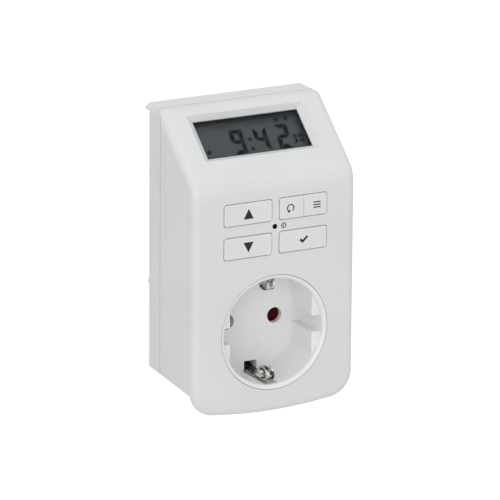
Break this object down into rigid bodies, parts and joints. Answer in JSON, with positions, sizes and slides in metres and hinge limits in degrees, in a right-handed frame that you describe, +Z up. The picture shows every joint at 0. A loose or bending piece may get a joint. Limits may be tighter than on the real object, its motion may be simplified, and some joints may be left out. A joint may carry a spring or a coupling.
{
  "type": "plug-in timer switch",
  "caption": "Wall plug-in timer switch with an earthed round outlet in front, push keys, a slanted display and a two-pin plug behind.",
  "frame": {"origin": "on the plug's axis, on the flat end of the plug body that the pins come out of", "axes": "+Y towards the wall along the pins, +Z up, +X to the right as seen from the front"},
  "size_m": [0.0638, 0.0765, 0.1072],
  "materials": {
    "shell_white": "fine spark-eroded grain",
    "insert_white": "smooth satin",
    "key_white": "fine grain",
    "shutter_red": "satin",
    "carrier_plastic": "satin",
    "pin_metal": "nickel plated",
    "contact_brass": "stamped",
    "strap_metal": "nickel plated spring strip",
    "spring_steel": "spring wire",
    "screw_steel": "zinc plated",
    "lens_clear": "clear polished plastic window",
    "lcd_glass": "liquid crystal glass",
    "board_green": "solder resist",
    "mat_grey": "silicone",
    "part_black": "moulded",
    "can_metal": "drawn can",
    "relay_case": "moulded",
    "film_case": "moulded",
    "disc_blue": "dipped",
    "fuse_glass": "clear tube",
    "wire_brown": "insulation",
    "wire_blue": "insulation",
    "ribbon_grey": "insulation"
  },
  "bodies": {
    "case": {"front_housing": "shell_white", "rear_housing": "shell_white", "socket_insert": "insert_white", "contact_carrier": "carrier_plastic", "carrier_screws": "screw_steel", "shutter_spring": "spring_steel", "socket_contact_left": "contact_brass", "socket_contact_right": "contact_brass", "plug_pin_left": "pin_metal", "plug_pin_right": "pin_metal", "earth_strap_upper": "strap_metal", "earth_strap_lower": "strap_metal", "earth_bridge": "contact_brass", "neutral_bar": "contact_brass", "live_feed_wire": "wire_brown", "live_load_wire": "wire_brown", "neutral_feed_wire": "wire_blue", "display_lens": "lens_clear", "lcd_panel": "lcd_glass", "display_holder": "carrier_plastic", "zebra_strip": "mat_grey", "display_board": "board_green", "display_screws": "screw_steel", "ribbon_cable": "ribbon_grey", "key_mat": "mat_grey", "control_board": "board_green", "control_screws": "screw_steel", "reset_switch": "part_black", "backup_battery": "can_metal", "controller_chip": "part_black", "clock_crystal": "can_metal", "power_board": "board_green", "power_screws": "screw_steel", "relay": "relay_case", "film_capacitor": "film_case", "smoothing_capacitor": "part_black", "varistor": "disc_blue", "fuse": "fuse_glass", "link_cable": "ribbon_grey", "housing_screws": "screw_steel"},
    "key_up": {"key_up": "key_white"},
    "key_down": {"key_down": "key_white"},
    "key_recall": {"key_recall": "key_white"},
    "key_menu": {"key_menu": "key_white"},
    "key_ok": {"key_ok": "key_white"},
    "reset_plunger": {"reset_plunger": "part_black"},
    "socket_shutter": {"socket_shutter": "shutter_red"}
  },
  "joints": [
    {"name": "key_up_press", "type": "slide", "parent": "case", "child": "key_up", "axis": [0, 1, 0], "range_m": [0, 0.0006], "stiffness_N_per_m": 800, "springref_m": -0.0004},
    {"name": "key_down_press", "type": "slide", "parent": "case", "child": "key_down", "axis": [0, 1, 0], "range_m": [0, 0.0006], "stiffness_N_per_m": 800, "springref_m": -0.0004},
    {"name": "key_recall_press", "type": "slide", "parent": "case", "child": "key_recall", "axis": [0, 1, 0], "range_m": [0, 0.0006], "stiffness_N_per_m": 800, "springref_m": -0.0004},
    {"name": "key_menu_press", "type": "slide", "parent": "case", "child": "key_menu", "axis": [0, 1, 0], "range_m": [0, 0.0006], "stiffness_N_per_m": 800, "springref_m": -0.0004},
    {"name": "key_ok_press", "type": "slide", "parent": "case", "child": "key_ok", "axis": [0, 1, 0], "range_m": [0, 0.0006], "stiffness_N_per_m": 800, "springref_m": -0.0004},
    {"name": "reset_press", "type": "slide", "parent": "case", "child": "reset_plunger", "axis": [0, 1, 0], "range_m": [0, 0.0004], "stiffness_N_per_m": 600, "springref_m": -0.0004},
    {"name": "shutter_turn", "type": "hinge", "parent": "case", "child": "socket_shutter", "pos_m": [0, -0.036, 0], "axis": [0, 1, 0], "range_deg": [0, 40], "stiffness_Nm_per_rad": 0.002, "springref_deg": -8.59}
  ]
}
